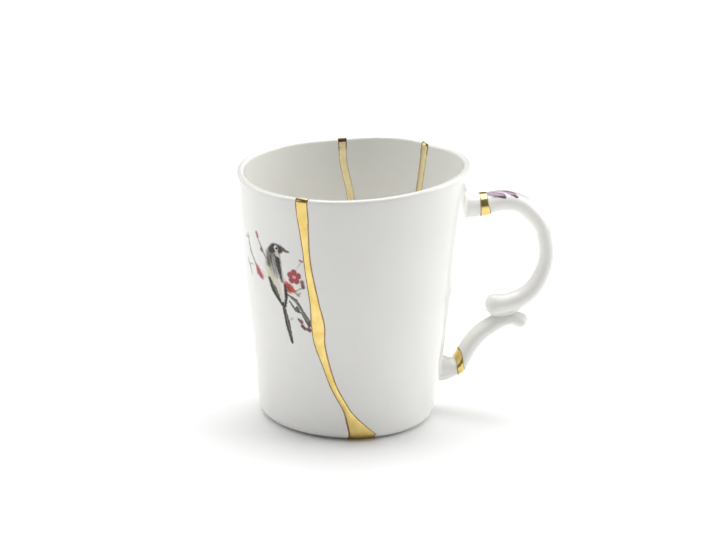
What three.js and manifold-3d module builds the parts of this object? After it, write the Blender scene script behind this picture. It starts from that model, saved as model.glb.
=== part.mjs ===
// A porcelain mug with a double-scroll handle, mended with three wide gold seams.
// Millimetres, +Z up. The handle points towards +X, and a turn is an angle about the mug's axis,
// in degrees from the handle's direction. The origin is on the surface that the mug stands on,
// in the plane of the handle, half way along the mug's whole length.

import * as THREE from 'three';
import { mergeVertices } from 'three/addons/utils/BufferGeometryUtils.js';
import Module from 'manifold-3d';

// Body: the outside is a taper with a slight belly, and its corner turns into the foot ring
const rimHeight = 98;
const rimRadius = 44;
const footRadius = 33.4;
const bellyDepth = 1.2;
const bellyLift = 1.3;
const cornerRadius = 4.5;
const footRingWidth = 3.1;
const recessDepth = 2;
const recessSlope = 1.4;
const lipThickness = 2.6;
const lowWallThickness = 4;
const floorThickness = 4;
const floorFillet = 8;

// The uneven rim: it rises towards the handle, with a weak second wave, and the back shard stands proud
const rimRise = 2.42;
const rimRiseTurn = -10;
const rimWave = 0.64;
const rimWaveTurn = -25.6;
const waveFade = 4;
const shardLift = 1.05;
const shardLean = 0.85;

// Gold seams: [share of the rim's height, turn] down the middle and [share of the rim's height, width].
// Over the last part of the height, the rim zone, a seam inside the mug widens to its width on the lip.
const seamRidge = 0.35;
const lipRidge = 0.18;
const seamShoulder = 0.22;
const insideSeamWidth = 3;
const widestHalfTurn = 12;
const seamRidgeFade = 7;
const rimZone = 0.1;
const frontSeam = {
  turns: [[0.03, -89], [0.09, -95.6], [0.15, -101], [0.23, -107.5], [0.32, -112.2], [0.41, -115.8],
    [0.48, -116.5], [0.55, -117.7], [0.71, -121.4], [0.87, -123.6], [0.97, -124.9]],
  widths: [[0.03, 10.5], [0.06, 7.8], [0.12, 3.6], [0.15, 3], [0.3, 3.1], [0.4, 4.4], [0.485, 5.5],
    [0.56, 4.2], [0.68, 3.3], [0.78, 3], [0.87, 4], [0.92, 4.8], [1, 5]],
};
const rightBackSeam = {
  turns: [[0.03, 24], [0.2, 29], [0.45, 37], [0.65, 41.5], [0.82, 40.1], [1, 38.7]],
  widths: [[0.03, 3.4], [0.3, 2.6], [0.8, 2.8], [1, 3.6]],
};
const leftBackSeam = {
  turns: [[0.03, 97], [0.2, 91], [0.42, 83], [0.62, 79.5], [0.76, 81.4], [0.9, 85.8], [1, 86.8]],
  widths: [[0.03, 3.6], [0.3, 2.4], [0.76, 2.5], [1, 3.4]],
};

// The three seams in rising order of their turns, and the shard between the second and the third
const seams = [frontSeam, rightBackSeam, leftBackSeam];
const backShard = 2;

// Handle: two scrolls that meet, each an oval section carried along a curve in the XZ plane.
// Points along them are [share of the reach out from the wall, share of the span above the lower root].
const upperRootHeight = 81.4;
const lowerRootHeight = 16;
const handleReach = 35.4;
const upperScroll = {
  path: [[0.21, 1.012], [0.433, 1.033], [0.6, 1.015], [0.73, 0.968], [0.888, 0.875], [0.98, 0.75],
    [1, 0.65], [0.94, 0.514], [0.82, 0.437], [0.66, 0.398], [0.52, 0.39], [0.4, 0.393]],
  halfHeights: [[0, 5.4], [0.06, 4.7], [0.12, 4.3], [0.25, 3.8], [0.45, 3.15], [0.65, 3], [0.78, 3.35],
    [0.87, 3.7], [0.91, 3.8]],
  halfWidths: [[0, 5.6], [0.1, 4.8], [0.3, 4.5], [0.6, 4.3], [0.9, 4.4]],
  bulbHalfHeight: 4.3,
  bulbHalfWidth: 4.7,
  band: { near: 7.2, far: 10.8 },
};
const lowerScroll = {
  path: [[0.075, 0], [0.165, 0.007], [0.222, 0.026], [0.259, 0.064], [0.287, 0.114], [0.336, 0.168],
    [0.412, 0.22], [0.51, 0.261], [0.607, 0.29], [0.71, 0.304], [0.81, 0.291], [0.905, 0.266]],
  halfHeights: [[0, 5.4], [0.1, 4.9], [0.17, 3.7], [0.25, 3.25], [0.4, 3.35], [0.65, 3.2], [0.84, 2.7]],
  halfWidths: [[0, 5.6], [0.15, 4.9], [0.4, 4.4], [0.84, 4.2]],
  bulbHalfHeight: 3,
  bulbHalfWidth: 4.4,
  band: { near: 9.2, far: 12.6 },
};
const bandRidge = 0.25;
const bandShoulder = 0.5;

// The web that fills the line where the scrolls meet
const webPlace = [0.64, 0.347];
const webHalfSizes = [5.9, 3.3, 1.7];
const webSlope = 12;

// Fineness of the facets
const wallRows = 12;
const insideRows = 10;
const cornerRows = 3;
const lipRows = 4;
const filletRows = 4;
const columnTurn = 5;
const scrollStep = 2.3;
const scrollSides = 14;
const bulbRings = 4;

const glazedPorcelain = new THREE.MeshStandardMaterial({ color: 0xf1efeb, roughness: 0.12, metalness: 0 });

// A smooth curve through [place, value] pairs in rising order, level beyond both ends
function valueAt(pairs, place) {
  const last = pairs.length - 1;
  const at = THREE.MathUtils.clamp(place, pairs[0][0], pairs[last][0]);
  const next = Math.max(1, pairs.findIndex((pair) => pair[0] >= at));
  const slope = (k) => {
    const before = pairs[Math.max(k - 1, 0)];
    const after = pairs[Math.min(k + 1, last)];
    return (after[1] - before[1]) / (after[0] - before[0]);
  };
  const [startPlace, startValue] = pairs[next - 1];
  const [endPlace, endValue] = pairs[next];
  const span = endPlace - startPlace;
  const t = (at - startPlace) / span;
  const ease = t * t * (3 - 2 * t);
  return startValue + (endValue - startValue) * ease
    + slope(next - 1) * span * t * (1 - t) ** 2
    - slope(next) * span * t * t * (1 - t);
}

function wallRadius(height) {
  const share = THREE.MathUtils.clamp(height / rimHeight, 0, 1);
  const swell = bellyDepth * Math.sin(Math.PI * share ** bellyLift);
  return footRadius + (rimRadius - footRadius) * share + swell;
}

function wallThickness(height) {
  const share = THREE.MathUtils.clamp(height / rimHeight, 0, 1);
  return lowWallThickness + (lipThickness - lowWallThickness) * share;
}

// Body profile, from the middle of the underside out, up, over the lip and down to the middle of the floor
function bodyProfile() {
  const profile = [];
  const add = (radius, height, side) => profile.push({ radius, height, side });
  const arc = (centre, size, from, to, rows, side) => {
    for (let row = 0; row <= rows; row += 1) {
      const angle = THREE.MathUtils.degToRad(from + (to - from) * row / rows);
      add(centre[0] + size * Math.cos(angle), centre[1] + size * Math.sin(angle), side);
    }
  };
  const ringOuter = footRadius - cornerRadius;
  const ringInner = ringOuter - footRingWidth;
  const recessRadius = ringInner - recessSlope;
  add(0, recessDepth, 'under');
  add(recessRadius / 2, recessDepth, 'under');
  add(recessRadius, recessDepth, 'under');
  add(ringInner, 0, 'under');
  add(ringOuter, 0, 'under');

  const cornerReach = wallRadius(cornerRadius) - ringOuter;
  for (let row = 1; row < cornerRows; row += 1) {
    const angle = Math.PI / 2 * row / cornerRows;
    const radius = ringOuter + cornerReach * Math.sin(angle);
    add(radius, cornerRadius * (1 - Math.cos(angle)), 'outside');
  }
  const lipCentre = [rimRadius - lipThickness / 2, rimHeight - lipThickness / 2];
  for (let row = 0; row < wallRows; row += 1) {
    const height = cornerRadius + (lipCentre[1] - cornerRadius) * row / wallRows;
    add(wallRadius(height), height, 'outside');
  }
  arc(lipCentre, lipThickness / 2, 0, 180, lipRows, 'lip');

  const floorTop = recessDepth + floorThickness;
  const filletTop = floorTop + floorFillet;
  const insideRadius = (height) => wallRadius(height) - wallThickness(height);
  for (let row = 1; row < insideRows; row += 1) {
    const height = lipCentre[1] + (filletTop - lipCentre[1]) * row / insideRows;
    add(insideRadius(height), height, 'inside');
  }
  const filletCentre = [insideRadius(filletTop) - floorFillet, filletTop];
  arc(filletCentre, floorFillet, 0, -90, filletRows, 'inside');
  add(filletCentre[0] / 2, floorTop, 'inside');
  add(0, floorTop, 'inside');
  return profile;
}

// The way out of the porcelain at a point of the profile, square to the line between its neighbours
function outward(profile, k) {
  const before = profile[Math.max(k - 1, 0)];
  const after = profile[Math.min(k + 1, profile.length - 1)];
  const way = new THREE.Vector2(after.height - before.height, before.radius - after.radius);
  return way.normalize();
}

// How close a point is to the rim: 0 below the zone where the seams change, 1 at the rim
function nearRim(point) {
  return THREE.MathUtils.smoothstep(point.height / rimHeight, 1 - rimZone, 1);
}

// Half of a seam's width as a turn: wide outside where the gold has spread, even inside, fine at the middle
function seamHalfTurn(seam, point) {
  const outsideWidth = valueAt(seam.widths, point.height / rimHeight);
  const shares = {
    outside: 1,
    lip: 1,
    inside: nearRim(point),
    under: Math.min(1, point.radius / footRadius),
  };
  const width = THREE.MathUtils.lerp(insideSeamWidth, outsideWidth, shares[point.side]);
  return Math.min(widestHalfTurn, THREE.MathUtils.radToDeg(Math.atan2(width / 2, point.radius)));
}

// How far the gold stands up: nothing on the underside, so that the foot ring sits flat
function seamHeight(point) {
  if (point.side === 'under') {
    return 0;
  }
  const ridge = THREE.MathUtils.lerp(seamRidge, lipRidge, nearRim(point));
  const fade = point.side === 'outside' ? point.height : point.radius;
  return ridge * THREE.MathUtils.smoothstep(fade, 0, seamRidgeFade);
}

// The columns of the body, once round: each seam's edges and crest, with even steps across the shards between
function bodyColumns() {
  const columns = [];
  seams.forEach((seam, k) => {
    const next = seams[(k + 1) % seams.length];
    const middle = (point) => valueAt(seam.turns, point.height / rimHeight);
    const lap = k + 1 === seams.length ? 360 : 0;
    const edges = [[-1, 0], [seamShoulder - 1, 1], [0, 1], [1 - seamShoulder, 1], [1, 0]];
    edges.forEach(([side, ridge]) => {
      const shard = side < 0 ? k : k + 1;
      const turn = (point) => middle(point) + side * seamHalfTurn(seam, point);
      columns.push({ turn, ridge, shard });
    });
    const right = columns[columns.length - 1];
    const nextMiddle = (point) => valueAt(next.turns, point.height / rimHeight) + lap;
    const left = (point) => nextMiddle(point) - seamHalfTurn(next, point);
    const rim = { height: rimHeight, radius: rimRadius, side: 'lip' };
    const steps = Math.round((left(rim) - right.turn(rim)) / columnTurn);
    for (let step = 1; step < steps; step += 1) {
      const turn = (point) => THREE.MathUtils.lerp(right.turn(point), left(point), step / steps);
      columns.push({ turn, ridge: 0, shard: k + 1 });
    }
  });
  return columns;
}

// How much the rim stands above its mean height at a turn, on the given shard
function rimLift(turn, shard) {
  const cosine = (angle) => Math.cos(THREE.MathUtils.degToRad(angle));
  const wave = rimRise * cosine(turn - rimRiseTurn) + rimWave * cosine(2 * (turn - rimWaveTurn));
  if (shard !== backShard) {
    return wave;
  }
  const left = valueAt(leftBackSeam.turns, 1);
  const right = valueAt(rightBackSeam.turns, 1);
  const share = THREE.MathUtils.clamp((left - turn) / (left - right), 0, 1);
  return wave + shardLift * Math.sin(Math.PI * shardLean * share);
}

function bodyGeometry() {
  const profile = bodyProfile();
  const columns = bodyColumns();
  const outline = profile.map((point) => new THREE.Vector2(point.radius, point.height));
  const turned = new THREE.LatheGeometry(outline, columns.length);
  const position = turned.attributes.position;
  for (let vertex = 0; vertex < position.count; vertex += 1) {
    const k = vertex % profile.length;
    const column = columns[Math.floor(vertex / profile.length) % columns.length];
    const point = profile[k];
    const way = outward(profile, k);
    const raised = column.ridge * seamHeight(point);
    const turn = column.turn(point);
    const lift = rimLift(turn, column.shard) * (point.height / rimHeight) ** waveFade;
    const radius = point.radius === 0 ? 0 : point.radius + raised * way.x;
    const angle = THREE.MathUtils.degToRad(turn);
    const height = point.height + raised * way.y + lift;
    position.setXYZ(vertex, radius * Math.cos(angle), radius * Math.sin(angle), height);
  }
  return turned;
}

// Where a point of the handle lies in the XZ plane
function handlePoint([out, up]) {
  const height = lowerRootHeight + (upperRootHeight - lowerRootHeight) * up;
  return new THREE.Vector3(wallRadius(height) + handleReach * out, 0, height);
}

// A scroll: a turned stem with a round end, bent along its curve from inside the wall to its bulb
function scrollGeometry(scroll, rootHeight) {
  const rootRadius = wallRadius(rootHeight) - wallThickness(rootHeight) / 2;
  const root = new THREE.Vector3(rootRadius, 0, rootHeight);
  const curve = new THREE.CatmullRomCurve3([root, ...scroll.path.map(handlePoint)], false, 'centripetal');
  const length = curve.getLength();
  const bulbPlace = length - scroll.bulbHalfHeight;
  const halfHeights = [...scroll.halfHeights, [bulbPlace / length, scroll.bulbHalfHeight]];
  const halfWidths = [...scroll.halfWidths, [bulbPlace / length, scroll.bulbHalfWidth]];
  const { near, far } = scroll.band;
  const bandEdges = [near, near + bandShoulder, far - bandShoulder, far];

  const rings = [0, ...bandEdges];
  const steps = Math.round(bulbPlace / scrollStep);
  for (let step = 1; step <= steps; step += 1) {
    const distance = bulbPlace * step / steps;
    if (bandEdges.every((edge) => Math.abs(edge - distance) > bandShoulder)) {
      rings.push(distance);
    }
  }
  for (let ring = 1; ring <= bulbRings; ring += 1) {
    rings.push(bulbPlace + scroll.bulbHalfHeight * Math.sin(Math.PI / 2 * ring / bulbRings));
  }
  rings.sort((a, b) => a - b);

  // The part of its full section that the stem has at a distance: less only on the bulb's round end
  const roundEnd = (distance) => {
    const past = Math.max(0, distance - bulbPlace) / scroll.bulbHalfHeight;
    return past < 1 ? Math.sqrt(1 - past ** 2) : 0;
  };
  const turned = new THREE.LatheGeometry(
    [new THREE.Vector2(0, 0), ...rings.map((distance) => new THREE.Vector2(roundEnd(distance), distance))],
    scrollSides,
  );
  const position = turned.attributes.position;
  const across = new THREE.Vector3(0, 1, 0);
  for (let vertex = 0; vertex < position.count; vertex += 1) {
    const distance = position.getY(vertex);
    const share = THREE.MathUtils.clamp(distance / length, 0, 1);
    const inPlane = new THREE.Vector3().crossVectors(curve.getTangentAt(share), across);
    const raised = distance > near && distance < far ? bandRidge : 0;
    const bent = curve.getPointAt(share);
    bent.addScaledVector(inPlane, position.getX(vertex) * (valueAt(halfHeights, share) + raised));
    bent.addScaledVector(across, position.getZ(vertex) * (valueAt(halfWidths, share) + raised));
    position.setXYZ(vertex, bent.x, bent.y, bent.z);
  }
  return turned;
}

function webGeometry() {
  const web = new THREE.SphereGeometry(1, scrollSides, scrollSides / 2);
  web.scale(...webHalfSizes);
  web.rotateY(-THREE.MathUtils.degToRad(webSlope));
  web.translate(...handlePoint(webPlace).toArray());
  return web;
}

const wasm = await Module();
wasm.setup();

function solidOf(geometry) {
  geometry.deleteAttribute('normal');
  geometry.deleteAttribute('uv');
  const merged = mergeVertices(geometry);
  const corners = merged.index.array;
  const kept = [];
  for (let k = 0; k < corners.length; k += 3) {
    const [a, b, c] = [corners[k], corners[k + 1], corners[k + 2]];
    if (a !== b && b !== c && c !== a) {
      kept.push(a, b, c);
    }
  }
  const vertProperties = new Float32Array(merged.attributes.position.array);
  return new wasm.Manifold(new wasm.Mesh({ numProp: 3, vertProperties, triVerts: new Uint32Array(kept) }));
}

function geometryOf(solid) {
  const { vertProperties, triVerts } = solid.getMesh();
  const geometry = new THREE.BufferGeometry();
  geometry.setAttribute('position', new THREE.BufferAttribute(vertProperties, 3));
  geometry.setIndex(new THREE.BufferAttribute(triVerts, 1));
  return geometry;
}

// One casting: the body with both scrolls of its handle
function makeMug() {
  const body = solidOf(bodyGeometry());
  const upper = solidOf(scrollGeometry(upperScroll, upperRootHeight));
  const lower = solidOf(scrollGeometry(lowerScroll, lowerRootHeight));
  const casting = body.add(upper).add(lower).add(solidOf(webGeometry()));
  const mesh = new THREE.Mesh(geometryOf(casting), glazedPorcelain);
  mesh.name = 'mug';
  return mesh;
}

const mug = makeMug();
mug.position.x = -new THREE.Box3().setFromObject(mug).getCenter(new THREE.Vector3()).x;

const group = new THREE.Group();
group.add(mug);

export default group;
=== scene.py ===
"""A porcelain mug with a double-scroll handle, mended with wide gold seams, laid out as a Blender add-on."""

import bisect
import math

import bpy
from mathutils import Matrix, Vector, noise


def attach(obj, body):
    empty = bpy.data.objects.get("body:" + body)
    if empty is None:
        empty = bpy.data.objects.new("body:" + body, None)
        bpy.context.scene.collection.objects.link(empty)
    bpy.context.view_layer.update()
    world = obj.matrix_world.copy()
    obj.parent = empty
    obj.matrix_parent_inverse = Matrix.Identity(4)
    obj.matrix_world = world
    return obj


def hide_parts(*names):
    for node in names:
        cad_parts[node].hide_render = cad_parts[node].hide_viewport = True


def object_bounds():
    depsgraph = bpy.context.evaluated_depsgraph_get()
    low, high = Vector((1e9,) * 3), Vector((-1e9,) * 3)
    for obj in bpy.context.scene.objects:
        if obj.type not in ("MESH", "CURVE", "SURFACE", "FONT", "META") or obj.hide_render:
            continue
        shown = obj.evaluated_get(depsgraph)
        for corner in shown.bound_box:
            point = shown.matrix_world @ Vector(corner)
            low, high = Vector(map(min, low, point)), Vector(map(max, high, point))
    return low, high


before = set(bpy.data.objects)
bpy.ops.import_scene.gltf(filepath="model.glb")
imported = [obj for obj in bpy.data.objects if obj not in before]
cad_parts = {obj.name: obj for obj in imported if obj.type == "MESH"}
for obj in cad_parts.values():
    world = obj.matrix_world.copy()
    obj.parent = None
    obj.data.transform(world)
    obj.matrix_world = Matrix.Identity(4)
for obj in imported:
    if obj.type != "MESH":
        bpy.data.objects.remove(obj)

bl_info = {
    "name": "Mended porcelain mug",
    "version": (1, 0, 0),
    "blender": (4, 5, 0),
    "location": "View3D > Sidebar > Mug",
    "description": "A white mug with a scroll handle, gold seams and a painted songbird",
    "category": "Add Mesh",
}

MM = 0.001
cad_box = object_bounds()
RIM_RADIUS = -cad_box[0][1] / MM

# Gold seams: [share of the rim's height, turn] down the middle and [share of the rim's height, width in mm].
# A turn is an angle about the mug's axis, in degrees from the handle's direction. The last entry says where
# dark brown painted shade lies on the gold of the lip: its middle in degrees up from facing straight
# outwards, how far it reaches either way, and how strong it is.
FRONT_SEAM = {
    "turns": [(0.03, -89), (0.09, -95.6), (0.15, -101), (0.23, -107.5), (0.32, -112.2), (0.41, -115.8),
              (0.48, -116.5), (0.55, -117.7), (0.71, -121.4), (0.87, -123.6), (0.97, -124.9)],
    "widths": [(0.03, 10.5), (0.06, 7.8), (0.12, 3.6), (0.15, 3), (0.3, 3.1), (0.4, 4.4), (0.485, 5.5),
               (0.56, 4.2), (0.68, 3.3), (0.78, 3), (0.87, 4), (0.92, 4.8), (1, 5)],
    "lip_shade": (48, 20, 0.9),
}
RIGHT_BACK_SEAM = {
    "turns": [(0.03, 24), (0.2, 29), (0.45, 37), (0.65, 41.5), (0.82, 40.1), (1, 38.7)],
    "widths": [(0.03, 3.4), (0.3, 2.6), (0.8, 2.8), (1, 3.6)],
    "lip_shade": (140, 24, 0.45),
}
LEFT_BACK_SEAM = {
    "turns": [(0.03, 97), (0.2, 91), (0.42, 83), (0.62, 79.5), (0.76, 81.4), (0.9, 85.8), (1, 86.8)],
    "widths": [(0.03, 3.6), (0.3, 2.4), (0.76, 2.5), (1, 3.4)],
    "lip_shade": (134, 34, 1),
}
SEAMS = {"front": FRONT_SEAM, "back_right": RIGHT_BACK_SEAM, "back_left": LEFT_BACK_SEAM}

# Handle scrolls: the path is [share of the reach out from the wall, share of the span above the lower root],
# the half sizes are [share of the length, mm], and the band's edges are [degrees round the stem from its
# top, mm along the scroll from its root].
UPPER_SCROLL = {
    "path": [(0.21, 1.012), (0.433, 1.033), (0.6, 1.015), (0.73, 0.968), (0.888, 0.875), (0.98, 0.75),
             (1, 0.65), (0.94, 0.514), (0.82, 0.437), (0.66, 0.398), (0.52, 0.39), (0.4, 0.393)],
    "half_heights": [(0, 5.4), (0.06, 4.7), (0.12, 4.3), (0.25, 3.8), (0.45, 3.15), (0.65, 3), (0.78, 3.35),
                     (0.87, 3.7), (0.91, 3.8)],
    "half_widths": [(0, 5.6), (0.1, 4.8), (0.3, 4.5), (0.6, 4.3), (0.9, 4.4)],
    "bulb_half_height": 4.3,
    "bulb_half_width": 4.7,
    "band_near": [(0, 7.9), (15, 7.9), (70, 7), (130, 7.2), (180, 7.3)],
    "band_far": [(0, 11.1), (10, 11.1), (75, 10.6), (130, 10.9), (180, 10.9)],
}
LOWER_SCROLL = {
    "path": [(0.075, 0), (0.165, 0.007), (0.222, 0.026), (0.259, 0.064), (0.287, 0.114), (0.336, 0.168),
             (0.412, 0.22), (0.51, 0.261), (0.607, 0.29), (0.71, 0.304), (0.81, 0.291), (0.905, 0.266)],
    "half_heights": [(0, 5.4), (0.1, 4.9), (0.17, 3.7), (0.25, 3.25), (0.4, 3.35), (0.65, 3.2), (0.84, 2.7)],
    "half_widths": [(0, 5.6), (0.15, 4.9), (0.4, 4.4), (0.84, 4.2)],
    "bulb_half_height": 3,
    "bulb_half_width": 4.4,
    "band_near": [(0, 12.6), (35, 11), (75, 8.9), (110, 8.5), (180, 8.4)],
    "band_far": [(0, 16.3), (50, 15.6), (80, 13.1), (110, 11.2), (180, 10.4)],
}

# The web where the scrolls meet: its place, as in a path, half sizes in mm, and slope in degrees
WEB_PLACE = (0.64, 0.347)
WEB_HALF_SIZES = (5.9, 3.3, 1.7)
WEB_SLOPE = 12

# The painting, in mm: across is measured round the wall at PAINT_RADIUS from the handle's direction, and up
# from the table. A stroke is an ink, an opacity, a softness and points of (across, up, half width).
PAINT_RADIUS = 42
BIRD = [
    ("cream", 0.85, 1.6, (-106.6, 67.6, 2.6), (-104.2, 61.2, 2.7), (-101.2, 55.4, 1.2)),
    ("olive", 0.6, 2, (-107, 67, 1.3), (-105.8, 63.2, 1.4)),
    ("slate", 0.85, 1.6, (-107.2, 68.8, 1.4), (-106.4, 72.6, 2), (-104, 74.6, 2.4)),
    ("slate", 0.5, 2.2, (-105.4, 70.6, 2.2), (-103.6, 65.6, 1.7)),
    ("umber", 1, 0.8, (-105.6, 74.6, 1.4), (-103.9, 75.9, 1.7), (-101.2, 75.9, 1.7)),
    ("umber", 1, 1, (-102.6, 73.6, 1.4), (-102.2, 69.6, 1.4), (-100.6, 63, 0.6)),
    ("umber", 1, 0.6, (-107.3, 62.8, 0.6), (-104.9, 58.8, 1.5), (-101.2, 53.2, 0.5)),
    ("umber", 1, 0.5, (-99.3, 61.6, 0.5), (-98.9, 57.4, 0.8), (-99.4, 53.2, 0.5)),
    ("umber", 1, 0.5, (-100.5, 53.8, 0.7), (-98.9, 46.4, 1.2), (-97.1, 38.6, 0.6)),
    ("silver", 0.7, 0.3, (-99.9, 52, 0.1), (-98.6, 46, 0.3), (-97.3, 40.6, 0.1)),
    ("umber", 0.8, 0.5, (-107.6, 71, 0.3), (-106, 66.2, 0.15)),
    ("umber", 0.8, 0.5, (-106, 72, 0.35), (-104.3, 65.6, 0.15)),
    ("umber", 0.7, 0.5, (-104.4, 71, 0.3), (-102.8, 63.6, 0.15)),
    ("silver", 0.8, 0.5, (-105.4, 60.8, 0.25), (-102.8, 56.6, 0.15)),
    ("cream", 0.9, 0.7, (-102.6, 73.6, 1), (-101.5, 72.8, 0.5)),
    ("slate", 1, 0.5, (-99.6, 76, 0.9), (-96.8, 75.4, 0.15)),
    ("rust", 0.6, 0.3, (-99.4, 75.4, 0.2), (-97.6, 75.3, 0.1)),
    ("white", 0.95, 0.5, (-103, 75.9, 1), (-102.8, 75.6, 1)),
    ("umber", 1, 0.3, (-102.7, 75.8, 0.6), (-102.6, 75.8, 0.6)),
]
TWIGS = [
    ("twig", 0.85, 0.6, (-120.9, 77, 0.3), (-119.2, 70.8, 0.5), (-115.6, 66, 0.5), (-113.9, 62.8, 0.3)),
    ("twig", 0.6, 0.8, (-122.6, 75.4, 0.5), (-119.8, 75.8, 0.3)),
    ("twig", 0.85, 0.5, (-113.2, 77.6, 0.25), (-110.6, 73.4, 0.5), (-108.6, 70.4, 0.3)),
    ("twig", 0.7, 0.6, (-122.4, 66.4, 0.3), (-120.4, 63.6, 0.5), (-119.4, 60.8, 0.3)),
    ("twig", 0.6, 0.5, (-120.9, 64.6, 0.3), (-117.4, 65.4, 0.2)),
    ("umber", 0.8, 0.5, (-111.3, 73.2, 0.7), (-110.7, 72.4, 0.4)),
    ("umber", 0.9, 0.5, (-98.4, 58.2, 0.3), (-94.4, 56.2, 0.75), (-91.9, 52.8, 0.5), (-88.6, 47.6, 0.9)),
    ("umber", 0.9, 0.4, (-97.4, 55.4, 0.3), (-94.6, 52.2, 0.6), (-92.2, 51.6, 0.35), (-89, 46.6, 0.5)),
    ("umber", 0.9, 0.4, (-94.2, 53.2, 0.8), (-93.7, 52.6, 0.8)),
    ("silver", 0.8, 0.4, (-97.4, 57.4, 0.1), (-94.6, 55.6, 0.3), (-92.3, 52.4, 0.15), (-89.6, 48.6, 0.35)),
    ("silver", 0.7, 0.4, (-95.8, 53.4, 0.1), (-94, 52.2, 0.25)),
    ("twig", 0.8, 0.35, (-96.6, 60.2, 0.3), (-94, 60.3, 0.25), (-91.4, 62.2, 0.2)),
    ("moss", 0.7, 0.5, (-93.6, 59.2, 0.3), (-92.6, 59.6, 0.4)),
    ("moss", 0.6, 0.4, (-93.9, 69.2, 0.15), (-92.2, 71.8, 0.3)),
    ("moss", 0.5, 0.6, (-97, 48.2, 0.5), (-96.2, 48.6, 0.4)),
]
BUDS = [
    ("crimson", 0.85, 0.6, (-113.8, 79.2, 0.8), (-113.2, 77.8, 0.6)),
    ("rose", 0.85, 0.9, (-115.4, 65.8, 0.6), (-114.4, 64.8, 1.3)),
    ("rose", 0.9, 0.8, (-113.6, 63.4, 1.7), (-111.7, 62, 1.2)),
    ("crimson", 0.8, 0.8, (-114.6, 64.6, 0.7), (-112.4, 62, 0.8)),
    ("blush", 0.6, 0.8, (-110.6, 64.4, 0.5), (-109.2, 62.6, 0.4)),
    ("crimson", 0.85, 0.5, (-92.4, 73, 0.4), (-91.6, 72.6, 0.5)),
    ("maroon", 0.9, 0.6, (-91.6, 64.4, 0.8), (-91.2, 62.2, 0.7)),
    ("maroon", 0.7, 0.6, (-93.8, 58.9, 0.5), (-93.2, 58.6, 0.5)),
    ("maroon", 0.9, 0.5, (-93.6, 48.8, 0.5), (-92.4, 48, 0.9)),
    ("maroon", 0.95, 0.5, (-92, 46.4, 0.7), (-90.8, 45.2, 0.6)),
    ("maroon", 0.95, 0.5, (-89.4, 45.4, 0.9), (-88.8, 45, 0.8)),
    ("blush", 0.7, 1.2, (-99.6, 63.4, 0.8), (-98, 60.4, 1.6)),
    ("rust", 0.9, 0.8, (-98.6, 62, 1.3), (-97, 60.7, 1.9)),
    ("crimson", 0.7, 0.8, (-98, 61.6, 0.7), (-96.6, 60.6, 0.9)),
    ("rust", 0.85, 0.6, (-96.2, 60.6, 0.9), (-94.6, 59.8, 0.6)),
    ("rust", 0.8, 0.5, (-98.8, 59.6, 0.7), (-98.6, 57.4, 0.35)),
    ("maroon", 0.8, 0.4, (-98, 60.8, 0.4), (-97.2, 60.2, 0.3)),
]
BLOSSOM_PLACE = (-95.0, 65.8)
BLOSSOM_RADIUS = 1.8
PETAL_RADIUS = 1.3
PETALS = 5

# Where the painting lies, in mm across and up
PICTURE_ACROSS = (-126, -86)
PICTURE_UP = (34, 84)

# The brush motif on the handle, in mm: along the upper scroll from its root, and round it from its top
HANDLE_MOTIF = [
    ("mauve", 0.6, 1, (12.4, 0.4, 1.1), (16, 1.2, 1.5), (19.6, 1.8, 1)),
    ("mauve", 0.85, 0.7, (11, 1.5, 0.8), (13.4, 2.5, 1.5), (16.6, 4, 0.8)),
    ("plum", 0.85, 0.4, (11.2, 1.7, 0.2), (13.8, 3.3, 0.4), (16.8, 4.5, 0.5)),
    ("plum", 0.8, 0.4, (13.4, 1.5, 0.2), (16.2, 2.6, 0.35), (16.9, 3.7, 0.3)),
    ("mauve", 0.8, 0.6, (17.3, 1.3, 0.8), (18.8, 2.1, 1.1), (20.8, 3.4, 0.5)),
    ("plum", 0.85, 0.4, (18, 2.7, 0.3), (20.8, 3.6, 0.45)),
    ("plum", 0.6, 0.4, (17.6, 0.8, 0.2), (19.8, 1.6, 0.3)),
    ("mauve", 0.5, 0.7, (20.2, 1.2, 0.6), (23.2, 1.3, 0.5), (26.4, 0.4, 0.25)),
    ("mauve", 0.4, 0.6, (21.4, 2.4, 0.3), (24.6, 2.2, 0.2)),
    ("mauve", 0.6, 0.8, (11.6, -1.2, 0.8), (14.2, -2.6, 1.4), (16.6, -4, 0.4)),
    ("plum", 0.6, 0.5, (12.4, -2.6, 0.3), (15.4, -3.9, 0.45)),
    ("mauve", 0.5, 0.8, (17.6, -0.8, 0.7), (20.4, -2.4, 0.9)),
]

# Where the motif lies, in mm out from the mug's axis and down from the upper root
MOTIF_OUT = (51, 74)
MOTIF_DROP = 2

# Inks, in linear light
INKS = {
    "umber": (0.009, 0.006, 0.004),
    "slate": (0.085, 0.075, 0.058),
    "silver": (0.3, 0.28, 0.24),
    "cream": (0.7, 0.69, 0.56),
    "olive": (0.62, 0.62, 0.36),
    "white": (0.85, 0.84, 0.82),
    "twig": (0.2, 0.165, 0.14),
    "moss": (0.33, 0.36, 0.27),
    "crimson": (0.34, 0.006, 0.015),
    "rose": (0.5, 0.05, 0.085),
    "maroon": (0.13, 0.002, 0.008),
    "rust": (0.56, 0.05, 0.012),
    "blush": (0.85, 0.5, 0.42),
    "mauve": (0.24, 0.13, 0.22),
    "plum": (0.08, 0.03, 0.075),
}

# The brush: its edge's waver in mm, how fine its bristles are, and how much ink its dry streaks lack
EDGE_WAVER = 0.9
BRISTLE_SCALES = (2.2, 0.8, 0)
DRY_SHARE = 0.12

# The share of its light that the glaze keeps in the painted shade on the lip's crest, and the gold's: its
# pale colour, what its deep patches keep, over which mm from its edge the brown line fades, and how pale it
# is made inside the mug as a painted highlight
CREST_SHADE_GLAZE = 0.8
PALE_GOLD = (0.87, 0.84, 0.72, 1)
DEEP_GOLD = (0.86, 0.78, 0.6)
LINE_FADE = (0.4, 0.7)
INSIDE_PALENESS = 0.5

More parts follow.
